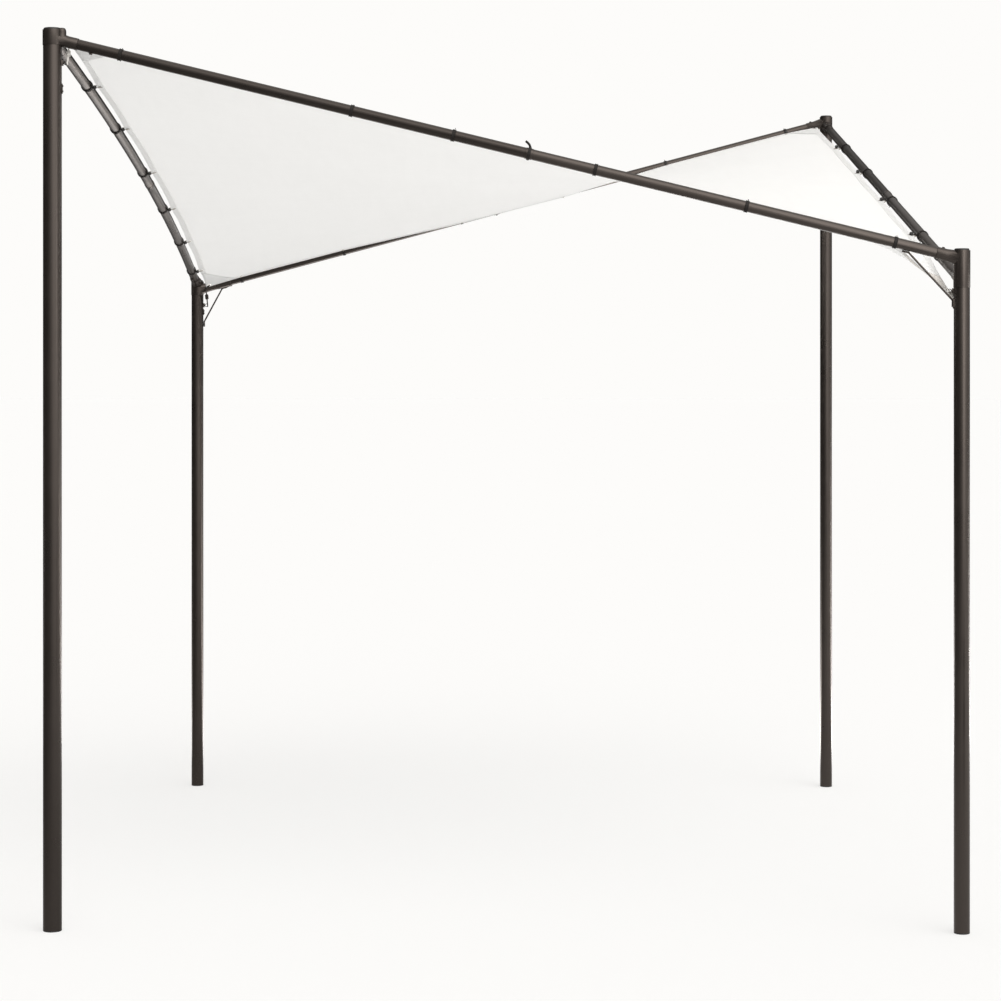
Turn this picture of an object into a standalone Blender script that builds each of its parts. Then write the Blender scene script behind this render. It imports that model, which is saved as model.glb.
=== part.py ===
"""A sail gazebo: four steel posts, two high and two low on opposite corners, four thin
beams that join their heads, and a saddle-shaped sail tied inside the beams.

Metres, +Z up. The origin is the centre of the plan, on the floor. The front is at -Y and
the left at -X. The left front and right back posts are the high ones.
"""

import math

import bmesh
import bpy
from mathutils import Matrix, Vector

# Plan and heights
FRONT_WIDE = 3.012              # over the outer sides of the two front posts
BACK_WIDE = 2.812               # over the outer sides of the two back posts
DEEP = 2.952                    # over the outer sides of the posts, front to back
HIGH_TOP = 2.94                 # floor to the top of a high post's cap
LOW_TOP = 2.22                  # floor to the top of a low post's cap
TOUCH = 0.0003                  # gap between pieces that touch

# Posts with their plugs
POST_R = 0.026
WIDE_POST_R = 0.0305            # the left front post
POST_WALL = 0.0015
FOOT_FLANGE = 0.004             # thickness of the plug's flange under the post
FOOT_SPIGOT = 0.030             # from the floor to the top of the plug
FOOT_EDGE = 0.0012
CAP_PROUD = 0.012               # how far the cap stands above the post
CAP_SPIGOT = 0.020              # how far it reaches down into the post
CAP_EDGE = 0.003

# Plates on the posts that the corners of the sail are lashed to
CLEAT_SEAT = 0.0012             # how deep the plate's back is sunk into the tube's wall
CLEAT_PROUD = 0.005
CLEAT_WIDE = 0.014
CLEAT_TALL = 0.018

# Beams
BEAM_R = 0.0175
BEAM_WALL = 0.0015
BEAM_START = 0.045              # from a post's axis to the end of the beam
RING_R = 0.0187                 # raised ring where the two halves of a beam meet
RING_HALF = 0.012
RING_AT = 0.525                 # along the beam, from its high post
BOWED_BEAM = "left"
BOW = 0.040                     # how far the sail pulls that beam inwards
BOW_STATIONS = 16

# Corner brackets
COLLAR_PROUD = 0.0014           # how far the collar stands out from the post
COLLAR_LOW = 0.006              # from the cap's top down to the collar
COLLAR_BELOW = 0.022            # from the lower beam's axis down to the collar's lower edge
SLEEVE_R = 0.0195
SLEEVE_REACH = 0.085            # from the post's axis to the mouth of a sleeve
FLARE_R = 0.0240
FLARE_REACH = 0.052
ROOT = 0.012                    # from the post's axis to where flares and sleeves start
HEAD_ROOM = 0.030               # how far the room for the post reaches above the cap
BOSS = ("left_front", "front")  # the sleeve with a rounded shoulder beside the post's cap
BOSS_AT = 0.032                 # from the post's axis
BOSS_OUT = 0.005                # from the beam's axis to the outside
BOSS_ROUND = (                  # radius of the shoulder, and how far below the cap's top
    (0.0085, 0.001), (0.0118, 0.003), (0.0140, 0.007), (0.0150, 0.013))

# Braces
BRACE_R = 0.0035
BRACE_LUG = 0.022               # length of each bent end

# Sail, ties and lashings
SAIL_THICK = 0.003
SAIL_INSET = 0.035              # from a beam's axis to the edge of the sail at a tie
SAIL_CELL = 0.075               # widest step of the sail's mesh, as a share of its side
TIE_R = 0.0207
TIE_HALF = 0.006                # half of the tie's width along the beam
TAB_HALF = 0.004                # half of the thickness of its tab
TAB_GAP = 0.0014                # from the tab to the edge of the sail
LASHING_R = 0.003
LASHING_STUB = 0.012            # straight end at the plate on the post
LASHING_END = 0.004             # from its other end to the tip of the sail's corner

ROUND_SIDES = 32
BEAM_SIDES = 24
TIE_SIDES = 16

POSTS = {
    # name: (x side, y side, height of the cap's top, radius, cleat below the cap's top)
    "left_front": (-1, -1, HIGH_TOP, WIDE_POST_R, 0.114),
    "right_front": (1, -1, LOW_TOP, POST_R, 0.138),
    "left_back": (-1, 1, LOW_TOP, POST_R, 0.110),
    "right_back": (1, 1, HIGH_TOP, POST_R, 0.120),
}

BEAMS = {
    # name: (high post, drop, low post, drop, places of the ties from the high post), where a
    # drop is from the top of the post's cap down to the beam's axis
    "front": ("left_front", 0.034, "right_front", 0.033,
              (0.075, 0.330, 0.442, 0.598, 0.764, 0.927)),
    "left": ("left_front", 0.027, "left_back", 0.014,
             (0.157, 0.305, 0.475, 0.630, 0.783, 0.930)),
    "right": ("right_back", 0.045, "right_front", 0.105,
              (0.190, 0.376, 0.563, 0.770, 0.872)),
    "back": ("right_back", 0.030, "left_back", 0.043,
             (0.064, 0.254, 0.420, 0.580, 0.767, 0.930)),
}

# post: (from its axis to the sail's corner, along X and along Y)
CORNERS = {
    "left_front": (0.050, 0.050),
    "right_front": (0.020, 0.046),
    "left_back": (0.045, 0.045),
    "right_back": (0.045, 0.045),
}
LOW_CORNER = "right_front"      # the corner that is lashed below its beams
LOW_CORNER_DROP = 0.064         # the sail folds down to it from the ties beside it

# How far the back beam's ties are turned from level, in degrees down to the sail
TIE_SLOPES = {("back", 0.064): 7, ("back", 0.254): 6, ("back", 0.420): 35,
              ("back", 0.580): 27, ("back", 0.767): -5, ("back", 0.930): -8}

BRACES = {
    # post: (beam, place on the beam from the post's axis, place on the post below the beam)
    "right_front": ("front", 0.183, 0.146),
    "left_back": ("back", 0.118, 0.150),
}


# Helpers

def clear_scene():
    for obj in list(bpy.data.objects):
        bpy.data.objects.remove(obj, do_unlink=True)


def new_collection(name):
    collection = bpy.data.collections.new(name)
    bpy.context.scene.collection.children.link(collection)
    return collection


def material(name, colour, roughness, metallic):
    mat = bpy.data.materials.new(name)
    mat.use_nodes = True
    shader = mat.node_tree.nodes["Principled BSDF"]
    shader.inputs["Base Color"].default_value = (*colour, 1.0)
    shader.inputs["Roughness"].default_value = roughness
    shader.inputs["Metallic"].default_value = metallic
    return mat


def add_object(name, data, mat, collection):
    obj = bpy.data.objects.new(name, data)
    collection.objects.link(obj)
    data.materials.append(mat)
    return obj


def hide(*objs):
    """Marks objects that only a Boolean uses."""
    for obj in objs:
        obj.hide_render = True
        obj.display_type = "WIRE"


def to_mesh(name, bm):
    mesh = bpy.data.meshes.new(name)
    bm.to_mesh(mesh)
    bm.free()
    mesh.shade_smooth()
    mesh.set_sharp_from_angle(angle=math.radians(35))
    return mesh


def boolean(target, others, operation):
    for other in others:
        modifier = target.modifiers.new(operation.lower(), "BOOLEAN")
        modifier.operation = operation
        modifier.object = other


def clear_radius(radius, sides):
    """Corner radius of a bore of so many sides that keeps TOUCH around a round piece."""
    return (radius + TOUCH) / math.cos(math.pi / sides)


def along_matrix(start, end):
    """Matrix at start whose Z runs to end, and whose X is level and points to the inside."""
    z_axis = (end - start).normalized()
    middle = (start + end) / 2
    x_axis = z_axis.cross(Vector((0, 0, 1))).normalized()
    if x_axis.dot(middle.xy.to_3d()) > 0:
        x_axis.negate()
    turn = Matrix((x_axis, z_axis.cross(x_axis), z_axis)).transposed()
    return Matrix.Translation(start) @ turn.to_4x4()


def turned(name, profile, sides, mat, collection):
    """Turns a profile of (radius, height) points about Z. It runs down its outer side, and
    closes on itself unless it starts on the axis."""
    bm = bmesh.new()
    verts = [bm.verts.new((radius, 0, height)) for radius, height in profile]
    for first, second in zip(verts, verts[1:]):
        bm.edges.new((first, second))
    if profile[0][0] > 0:
        bm.edges.new((verts[-1], verts[0]))
    mesh = bpy.data.meshes.new(name)
    bm.to_mesh(mesh)
    bm.free()
    obj = add_object(name, mesh, mat, collection)
    screw = obj.modifiers.new("turn", "SCREW")
    screw.steps = sides
    screw.render_steps = sides
    screw.use_merge_vertices = True
    screw.merge_threshold = 0.00001
    return obj


def round_wire(name, points, radius, mat, collection):
    """A round rod along straight runs between points."""
    curve = bpy.data.curves.new(name, "CURVE")
    curve.dimensions = "3D"
    curve.bevel_depth = radius
    curve.bevel_resolution = 2
    curve.use_fill_caps = True
    spline = curve.splines.new("POLY")
    spline.points.add(len(points) - 1)
    for place, point in zip(spline.points, points):
        place.co = (*point, 1)
    return add_object(name, curve, mat, collection)


# Where things are

def post_axis(post, height):
    """Point on a post's axis. The posts stand with their outer sides in line."""
    x_side, y_side, _, radius, _ = POSTS[post]
    wide = FRONT_WIDE if y_side < 0 else BACK_WIDE
    return Vector((x_side * (wide / 2 - radius), y_side * (DEEP / 2 - radius), height))


def beam_ends(beam):
    """Where a beam's axis meets the axes of its high and low posts."""
    high, high_drop, low, low_drop = BEAMS[beam][:4]
    return (post_axis(high, POSTS[high][2] - high_drop),
            post_axis(low, POSTS[low][2] - low_drop))


def bow_at(beam, along):
    """How far a beam's axis is pulled inwards. The bow starts at the sleeves' mouths."""
    if beam != BOWED_BEAM:
        return 0.0
    start, end = beam_ends(beam)
    sleeve = SLEEVE_REACH / (end - start).length
    share = min(max((along - sleeve) / (1 - 2 * sleeve), 0), 1)
    return 4 * BOW * share * (1 - share)


def beam_point(beam, along, inset=0.0):
    """Point on a beam's axis, or level with it and inset towards the inside."""
    start, end = beam_ends(beam)
    inwards = along_matrix(start, end).col[0].to_3d()
    return start.lerp(end, along) + inwards * (bow_at(beam, along) + inset)


def arms_at(post):
    """For each beam that meets a post: its name, that end of its axis and the other end."""
    arms = []
    for beam, (high, _, low, _, _) in BEAMS.items():
        start, end = beam_ends(beam)
        if post == high:
            arms.append((beam, start, end))
        if post == low:
            arms.append((beam, end, start))
    return arms


def tie_matrix(beam, place):
    """Matrix on a beam's axis, Z along the beam and X towards the edge of the sail."""
    turn = along_matrix(beam_point(beam, place - 0.01), beam_point(beam, place + 0.01))
    aim = Matrix.Translation(beam_point(beam, place)) @ turn.to_3x3().to_4x4()
    below = math.radians(TIE_SLOPES.get((beam, place), 0))
    if aim.col[1].z > 0:
        below = -below
    return aim @ Matrix.Rotation(below, 4, "Z")


def sail_corner(post):
    """Corner of the sail beside a post, level with the lower beam."""
    x_side, y_side = POSTS[post][:2]
    x_inset, y_inset = CORNERS[post]
    heights = [near.lerp(far, y_inset / (far - near).length).z for _, near, far in arms_at(post)]
    return post_axis(post, min(heights)) - Vector((x_side * x_inset, y_side * y_inset, 0))


def lashed_corner(post):
    """Corner of the sail, where its lashing holds it."""
    drop = LOW_CORNER_DROP if post == LOW_CORNER else 0.0
    return sail_corner(post) - Vector((0, 0, drop))


def edge_points(beam):
    """(share, point) along one edge of the sail, in the +X or +Y direction."""
    high, _, low, _, ties = BEAMS[beam]
    points = [(0.0, sail_corner(high))]
    points += [(place, tie_matrix(beam, place) @ Vector((SAIL_INSET, 0, 0))) for place in ties]
    points.append((1.0, sail_corner(low)))
    if POSTS[high][0] + POSTS[high][1] > 0:
        points = [(1 - share, point) for share, point in reversed(points)]
    return points


def on_edge(points, share):
    """Point at a share of an edge that runs straight from tie to tie."""
    for (low, start), (high, end) in zip(points, points[1:]):
        if share <= high:
            return start.lerp(end, (share - low) / (high - low))
    return points[-1][1]


def sail_point(edges, u, v):
    """Point of the saddle surface that the four edges span, u along X and v along Y. It is
    folded down to the low corner, at u = 1 and v = 0, from the ties beside that corner."""
    front, back, left, right = (edges[name] for name in ("front", "back", "left", "right"))
    across = on_edge(front, u).lerp(on_edge(back, u), v)
    along = on_edge(left, v).lerp(on_edge(right, v), u)
    corners = front[0][1].lerp(front[-1][1], u).lerp(back[0][1].lerp(back[-1][1], u), v)
    folded = 1 - (1 - u) / (1 - front[-2][0]) - v / right[1][0]
    return across + along - corners - Vector((0, 0, LOW_CORNER_DROP * max(folded, 0)))


def mesh_lines(first, second):
    """Shares for the sail's mesh lines: each tie of two facing edges, and steps between."""
    shares = sorted({round(share, 6) for share, _ in first + second})
    lines = [shares[0]]
    for share in shares[1:]:
        if share - lines[-1] < SAIL_CELL / 5 and share < 1:
            continue
        steps = math.ceil((share - lines[-1]) / SAIL_CELL)
        start = lines[-1]
        lines += [start + (share - start) * step / steps for step in range(1, steps + 1)]
    return lines


# Pieces

def make_post(post, parts, cutters, steel):
    x_side, _, top, radius, _ = POSTS[post]
    low, high = FOOT_FLANGE + TOUCH, top - CAP_PROUD
    tube = turned(
        f"post_{post}",
        [(radius - POST_WALL, high), (radius, high), (radius, low), (radius - POST_WALL, low)],
        ROUND_SIDES, steel, parts)
    tube.location = post_axis(post, 0)
    deep = CLEAT_SEAT + CLEAT_PROUD
    middle = cleat_middle(post) + Vector((x_side * deep / 2, 0, 0))
    bm = bmesh.new()
    bmesh.ops.create_cube(
        bm, size=1,
        matrix=Matrix.Translation(middle) @ Matrix.Diagonal((deep, CLEAT_WIDE, CLEAT_TALL, 1)))
    plate = add_object(f"cleat_{post}", to_mesh(f"cleat_{post}", bm), steel, cutters)
    hide(plate)
    boolean(tube, [plate], "UNION")


def cleat_middle(post):
    """Middle of the outer face of the plate, which faces the other post along X."""
    x_side, _, top, radius, below = POSTS[post]
    return post_axis(post, top - below) - Vector((x_side * (radius + CLEAT_PROUD), 0, 0))


def make_plugs(post, parts, plastic):
    _, _, top, radius, _ = POSTS[post]
    plug_r = radius - POST_WALL - TOUCH
    foot = turned(
        f"foot_{post}",
        [(0, FOOT_SPIGOT), (plug_r, FOOT_SPIGOT), (plug_r, FOOT_FLANGE), (radius, FOOT_FLANGE),
         (radius, FOOT_EDGE), (radius - FOOT_EDGE, 0), (0, 0)],
        ROUND_SIDES, plastic, parts)
    foot.location = post_axis(post, 0)
    bevel = [(plug_r - CAP_EDGE * (1 - math.sin(turn)), CAP_PROUD - CAP_EDGE * (1 - math.cos(turn)))
             for turn in (0, math.pi / 4, math.pi / 2)]
    cap = turned(
        f"cap_{post}",
        [(0, CAP_PROUD)] + bevel + [(plug_r, -CAP_SPIGOT), (0, -CAP_SPIGOT)],
        ROUND_SIDES, plastic, parts)
    cap.location = post_axis(post, top - CAP_PROUD)


def make_bracket(post, parts, cutters, steel):
    """A collar around the post's head, with a flared sleeve for each of its two beams."""
    arms = arms_at(post)
    _, _, top, radius, _ = POSTS[post]
    low = min(near.z for _, near, _ in arms) - COLLAR_BELOW
    collar_r = radius + COLLAR_PROUD
    bracket = turned(
        f"bracket_{post}",
        [(0, top - COLLAR_LOW), (collar_r, top - COLLAR_LOW), (collar_r, low), (0, low)],
        ROUND_SIDES, steel, parts)
    bracket.location = post_axis(post, 0)
    sleeves = []
    for beam, near, far in arms:
        bore_r = clear_radius(BEAM_R, BEAM_SIDES)
        sleeve = turned(
            f"sleeve_{post}_{beam}",
            [(0, BEAM_START - TOUCH), (bore_r, BEAM_START - TOUCH), (bore_r, SLEEVE_REACH),
             (SLEEVE_R, SLEEVE_REACH), (SLEEVE_R, FLARE_REACH), (FLARE_R, ROOT), (0, ROOT)],
            BEAM_SIDES, steel, cutters)
        sleeve.matrix_world = along_matrix(near, far)
        sleeves.append(sleeve)
        if (post, beam) == BOSS:
            foot = along_matrix(near, far) @ Vector((-BOSS_OUT, 0, BOSS_AT))
            rounded = [(round_r, top - below) for round_r, below in BOSS_ROUND]
            boss = turned(
                f"boss_{post}",
                [(0, rounded[0][1])] + rounded + [(rounded[-1][0], foot.z), (0, foot.z)],
                BEAM_SIDES, steel, cutters)
            boss.location = (foot.x, foot.y, 0)
            sleeves.append(boss)
    room_r = clear_radius(radius, ROUND_SIDES)
    room_top = top + HEAD_ROOM
    room = turned(
        f"post_room_{post}",
        [(0, room_top), (room_r, room_top), (room_r, low - COLLAR_BELOW), (0, low - COLLAR_BELOW)],
        ROUND_SIDES, steel, cutters)
    room.location = post_axis(post, 0)
    hide(*sleeves, room)
    boolean(bracket, sleeves, "UNION")
    boolean(bracket, [room], "DIFFERENCE")


def make_beam(beam, parts, steel):
    """A tube between two sleeves, with a raised ring where its halves meet."""
    start, end = beam_ends(beam)
    length = (end - start).length
    low, high = BEAM_START, length - BEAM_START
    ring_low, ring_high = RING_AT * length - RING_HALF, RING_AT * length + RING_HALF
    stations = []
    if beam == BOWED_BEAM:
        bent = length - 2 * SLEEVE_REACH
        stations = [SLEEVE_REACH + bent * step / BOW_STATIONS for step in range(BOW_STATIONS + 1)]
    outer = [(BEAM_R, place) for place in [low, high] + stations
             if not ring_low - RING_HALF < place < ring_high + RING_HALF]
    outer += [(BEAM_R, ring_low), (BEAM_R, ring_high)]
    outer += [(RING_R, ring_low + TOUCH), (RING_R, ring_high - TOUCH)]
    outer.sort(key=lambda point: -point[1])
    inner = [(BEAM_R - BEAM_WALL, place) for place in [low] + stations[::2] + [high]]
    tube = turned(f"beam_{beam}", outer + inner, BEAM_SIDES, steel, parts)
    tube.matrix_world = along_matrix(start, end)
    if beam == BOWED_BEAM:
        bend(tube, lambda place: bow_at(beam, place / length))


def bend(obj, offset):
    """Moves each point of an object's final mesh along local X by offset(local Z)."""
    depsgraph = bpy.context.evaluated_depsgraph_get()
    mesh = bpy.data.meshes.new_from_object(obj.evaluated_get(depsgraph))
    obj.modifiers.clear()
    obj.data = mesh
    for vert in mesh.vertices:
        vert.co.x += offset(vert.co.z)


def make_brace(post, parts, steel):
    """A rod with bent ends that lie against the underside of the beam and the post."""
    beam, reach, drop = BRACES[post]
    _, near, far = next(arm for arm in arms_at(post) if arm[0] == beam)
    out = (far - near).normalized()
    level = Vector((out.x, 0, 0)).normalized()
    under = Vector((0, 0, -1)) + out * out.z
    under = under.normalized() * (BEAM_R + BRACE_R + TOUCH)
    radius = POSTS[post][3]
    on_post = near + level * (radius + BRACE_R + TOUCH) - Vector((0, 0, drop))
    half = BRACE_LUG / 2
    points = [near + out * (reach + half) + under, near + out * (reach - half) + under,
              on_post + Vector((0, 0, half)), on_post - Vector((0, 0, half))]
    round_wire(f"brace_{post}", points, BRACE_R, steel, parts)


def tie_curve():
    """Outline of a tie, a ring around the beam with a tab to the sail, with its thickness."""
    curve = bpy.data.curves.new("tie", "CURVE")
    curve.dimensions = "2D"
    curve.fill_mode = "BOTH"
    curve.extrude = TIE_HALF
    open_angle = math.asin(TAB_HALF / TIE_R)
    span = 2 * (math.pi - open_angle)
    outer = []
    for step in range(TIE_SIDES + 1):
        angle = open_angle + span * step / TIE_SIDES
        outer.append((TIE_R * math.cos(angle), TIE_R * math.sin(angle)))
    tab_end = SAIL_INSET - TAB_GAP
    outer += [(tab_end, -TAB_HALF), (tab_end, TAB_HALF)]
    bore_r = clear_radius(BEAM_R, TIE_SIDES)
    turns = [2 * math.pi * step / TIE_SIDES for step in range(TIE_SIDES)]
    inner = [(bore_r * math.cos(turn), bore_r * math.sin(turn)) for turn in turns]
    for outline in (outer, inner):
        spline = curve.splines.new("POLY")
        spline.points.add(len(outline) - 1)
        spline.use_cyclic_u = True
        for place, (x, y) in zip(spline.points, outline):
            place.co = (x, y, 0, 1)
    return curve


def make_ties(beam, curve, parts):
    for number, place in enumerate(BEAMS[beam][4], 1):
        tie = bpy.data.objects.new(f"tie_{beam}_{number}", curve)
        parts.objects.link(tie)
        tie.matrix_world = tie_matrix(beam, place)


def make_sail(edges, parts, cloth):
    """A thin closed saddle whose mesh has a line at every tie."""
    u_lines = mesh_lines(edges["front"], edges["back"])
    v_lines = mesh_lines(edges["left"], edges["right"])
    bm = bmesh.new()
    bmesh.ops.create_grid(bm, x_segments=len(u_lines) - 1, y_segments=len(v_lines) - 1, size=0.5)
    for vert in bm.verts:
        column = round((vert.co.x + 0.5) * (len(u_lines) - 1))
        row = round((vert.co.y + 0.5) * (len(v_lines) - 1))
        vert.co = sail_point(edges, u_lines[column], v_lines[row])
    sail = add_object("sail", to_mesh("sail", bm), cloth, parts)
    solid = sail.modifiers.new("thickness", "SOLIDIFY")
    solid.thickness = SAIL_THICK
    solid.offset = 0


def make_lashing(post, parts, cord):
    """A cord from the plate on a post to the corner of the sail."""
    inwards = Vector((-POSTS[post][0], 0, 0))
    start = cleat_middle(post) + inwards * TOUCH
    turn = start + inwards * LASHING_STUB
    corner = lashed_corner(post)
    end = corner + (turn - corner).normalized() * LASHING_END
    round_wire(f"lashing_{post}", [start, turn, end], LASHING_R, cord, parts)


def main():
    clear_scene()
    parts = new_collection("sail_gazebo")
    cutters = new_collection("cutters")
    steel = material("frame_steel", (0.062, 0.050, 0.045), 0.38, 0.35)
    plastic = material("plug_plastic", (0.030, 0.026, 0.024), 0.55, 0.0)
    cloth = material("sail_cloth", (0.86, 0.86, 0.85), 0.75, 0.0)
    webbing = material("tie_webbing", (0.55, 0.50, 0.44), 0.70, 0.0)
    cord = material("lashing_cord", (0.62, 0.58, 0.52), 0.70, 0.0)
    edges = {beam: edge_points(beam) for beam in BEAMS}
    for post in POSTS:
        make_post(post, parts, cutters, steel)
        make_plugs(post, parts, plastic)
        make_bracket(post, parts, cutters, steel)
        make_lashing(post, parts, cord)
    curve = tie_curve()
    curve.materials.append(webbing)
    for beam in BEAMS:
        make_beam(beam, parts, steel)
        make_ties(beam, curve, parts)
    for post in BRACES:
        make_brace(post, parts, steel)
    make_sail(edges, parts, cloth)


main()
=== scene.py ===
"""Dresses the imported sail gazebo. The tubes, brackets, plugs and braces keep their solids and
get their finish, bolts and small fittings. A hemmed cloth, wound ties and knotted ropes stand
for the plain sail, ties and lashings.

Metres, +Z up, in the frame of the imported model: the origin is the centre of the plan on the
floor, the front is at -Y and the left at -X.
"""

import math
import random

import bmesh
import bpy
import numpy as np
from mathutils import Matrix, Vector


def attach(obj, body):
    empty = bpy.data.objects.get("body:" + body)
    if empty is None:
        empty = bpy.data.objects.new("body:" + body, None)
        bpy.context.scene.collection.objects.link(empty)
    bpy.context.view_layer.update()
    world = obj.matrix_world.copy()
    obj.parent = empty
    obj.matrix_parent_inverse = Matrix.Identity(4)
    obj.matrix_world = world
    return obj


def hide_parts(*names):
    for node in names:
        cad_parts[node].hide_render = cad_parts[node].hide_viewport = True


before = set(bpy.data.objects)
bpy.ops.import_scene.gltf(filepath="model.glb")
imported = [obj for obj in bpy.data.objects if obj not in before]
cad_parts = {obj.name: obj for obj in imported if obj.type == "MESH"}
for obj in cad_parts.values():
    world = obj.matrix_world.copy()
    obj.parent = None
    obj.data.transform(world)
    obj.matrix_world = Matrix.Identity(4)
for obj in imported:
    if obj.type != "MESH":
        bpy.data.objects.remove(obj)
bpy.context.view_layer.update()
random.seed(7)

# The frame's own sizes, as in the solids
FRONT_WIDE = 3.012              # over the outer sides of the two front posts
BACK_WIDE = 2.812               # over the outer sides of the two back posts
DEEP = 2.952                    # over the outer sides of the posts, front to back
HIGH_TOP = 2.94
LOW_TOP = 2.22
POST_R = 0.026
WIDE_POST_R = 0.0305            # the left front post
CLEAT_PROUD = 0.005
BEAM_R = 0.0175
RING_R = 0.0187
RING_AT = 0.525
BOWED_BEAM = "left"
BOW = 0.040
SLEEVE_R = 0.0195
SLEEVE_REACH = 0.085
SAIL_INSET = 0.035              # from a beam's axis to the edge of the sail at a tie

POSTS = {
    # name: (x side, y side, height of the cap's top, radius, cleat below the cap's top)
    "left_front": (-1, -1, HIGH_TOP, WIDE_POST_R, 0.114),
    "right_front": (1, -1, LOW_TOP, POST_R, 0.138),
    "left_back": (-1, 1, LOW_TOP, POST_R, 0.110),
    "right_back": (1, 1, HIGH_TOP, POST_R, 0.120),
}
BEAMS = {
    # name: (high post, drop, low post, drop, places of the ties from the high post)
    "front": ("left_front", 0.034, "right_front", 0.033,
              (0.075, 0.330, 0.442, 0.598, 0.764, 0.927)),
    "left": ("left_front", 0.027, "left_back", 0.014,
             (0.157, 0.305, 0.475, 0.630, 0.783, 0.930)),
    "right": ("right_back", 0.045, "right_front", 0.105,
              (0.190, 0.376, 0.563, 0.770, 0.872)),
    "back": ("right_back", 0.030, "left_back", 0.043,
             (0.064, 0.254, 0.420, 0.580, 0.767, 0.930)),
}
# post: (from its axis to the sail's corner, along X and along Y)
CORNERS = {
    "left_front": (0.050, 0.050),
    "right_front": (0.020, 0.046),
    "left_back": (0.045, 0.045),
    "right_back": (0.045, 0.045),
}
LOW_CORNER = "right_front"      # the corner that is lashed below its beams
LOW_CORNER_DROP = 0.064
# How far the back beam's ties are turned from level, in degrees down to the sail
TIE_SLOPES = {("back", 0.064): 7, ("back", 0.254): 6, ("back", 0.420): 35,
              ("back", 0.580): 27, ("back", 0.767): -5, ("back", 0.930): -8}

# The view of the photograph
LENS = 91.31
SENSOR = 36.0
EYE = (0.0739, -9.6987, 1.8273)
YAW = 0.0109
SHIFT_Y = -0.1308
BACKDROP = (0.982, 0.973, 0.956)
ROOM_TINT = (1.0, 0.985, 0.965)
FLOOR_TONE = 0.30               # how much of the room's light the floor sends back
GLOWS = (
    # Light of the room: (towards, from this cosine, to this cosine, dim, bright)
    ((0.45, -0.65, 0.62), 0.72, 0.99, 0.0, 1.9),     # soft box, high to the camera's right
    ((0.72, -0.69, 0.00), -0.10, 0.75, 0.02, 0.75),  # the room's bright side
    ((0.00, 0.00, 1.00), 0.22, 0.90, 0.0, 0.94),     # ceiling
)
SOFT_BOX = (2.1, -3.1)          # middle of the tall soft box that the posts reflect
SOFT_BOX_WIDE = 0.8
SOFT_BOX_TOP = 3.6
SOFT_BOX_STRENGTH = 4.2
GLEAM = 8.0                     # the bright strip of floor behind, in reflections
FLOOR_HALF = 150.0
FLOOR_DROP = 0.0005             # how far the floor lies below the feet
LIGHT_RINGS = 300               # rings of the sky that floor_light adds up

SHARP_ANGLE = 35                # degrees above which an edge of a scene piece is sharp
SOLID_SHARP_ANGLE = 38          # the same for the carried-over solids

# Cloth
CELLS = 140                     # cells of the sail's mesh, each way
RELAX_STEPS = 600
CLOTH_THICK = 0.0009
WEAVE_SCALE = 330.0
SCALLOP = 0.005                 # how far the edge curves in between two ties
HEM_WIDE = 0.024
HEM_HALF = 0.0011               # half of the hem's thickness
HEM_BEAD = 0.0019               # radius of the rope in the hem's edge
HEM_STEP = 0.02
EYELET_IN = 0.012               # from the sail's edge to an eyelet's middle
EYELET_R = 0.0075
EYELET_HOLE = 0.0038
STITCH_LONG = 0.0034
STITCH_PITCH = 0.0055
STITCH_R = 0.0005
STITCH_ROWS = (0.021, 0.015)    # from the sail's edge to each row of stitches
STITCH_CLEAR = 0.001            # from an eyelet to the stitches round it
CORNER_EYELET = 1.25            # size of the corner eyelets beside the others
SIDE_LIFT = 0.0003              # the side hems lie over the front and back ones
PATCH_SIDE = 0.17               # legs of the triangular patches in the corners
PATCH_STEPS = 14
PATCH_LIFT = 0.0013             # from the cloth's face to the middle of a patch
PATCH_THICK = 0.0008

# Fasteners, whose places are from a post's axis along a beam
BEAM_BOLT_AT = 0.133
SLEEVE_BOLT_AT = 0.066
BEAM_BOLT = (0.0060, 0.0052)    # radius and height of the head
SLEEVE_BOLT = (0.0042, 0.0036)
PLATE_BOLT = (0.0034, 0.0026)
SEATED = 0.0003                 # how deep a bolt or a button is let into its seat
NO_BEAM_BOLT = (("right_front", "front"),)
NO_SLEEVE_BOLT = (("left_front", "front"),)
COUPLER = ("left_back", "back", 0.087, 0.152)   # post, beam, and its two ends
COUPLER_R = 0.0206
COUPLER_LIP = 0.0018            # how far the coupler's ring stands out
# Flat plates on the inner sides of the posts: (post, middle below the cap's top, height)
PLATES = (("left_front", 0.198, 0.034), ("left_back", 0.140, 0.026),
          ("right_front", 0.178, 0.036))
PLATE_HALF_WIDE = 0.0075
PLATE_THICK = 0.0034

# Ties
BORE_SLACK = 0.0002             # between a beam and the bands round it
BAND_HALF = 0.0055
BAND_R = 0.0196
BAND_RIM = 0.0009               # how far a band's edges stand out
BALL_R = 0.0072
# Ball of a tie: from the beam's axis to its middle, and degrees below the sail's edge
BALLS = {"front": (0.0275, 12), "left": (0.0275, 12), "right": (0.0415, -13),
         "back": (0.0275, -12)}
CORD_R = 0.0013
STRAP_R = RING_R + 0.0022       # outside of the strap round the front beam's joint
STRAP_HALF = 0.0052
STRAP_END_R = 0.0040
STRAP_END_AT = 70               # degrees up from the sail's side
ROPE_R = 0.0022
COILS = 5                       # turns of rope round a lashing
COIL_R = 0.0058
EYE_OUT = 0.0085                # from a cleat's face to the middle of its eye
EYE_R = 0.0062
EYE_WIRE_R = 0.0014


# Where things are, as in the solids

def post_axis(post, height):
    """Point on a post's axis. The posts stand with their outer sides in line."""
    x_side, y_side, _, radius, _ = POSTS[post]
    wide = FRONT_WIDE if y_side < 0 else BACK_WIDE
    return Vector((x_side * (wide / 2 - radius), y_side * (DEEP / 2 - radius), height))


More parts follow.
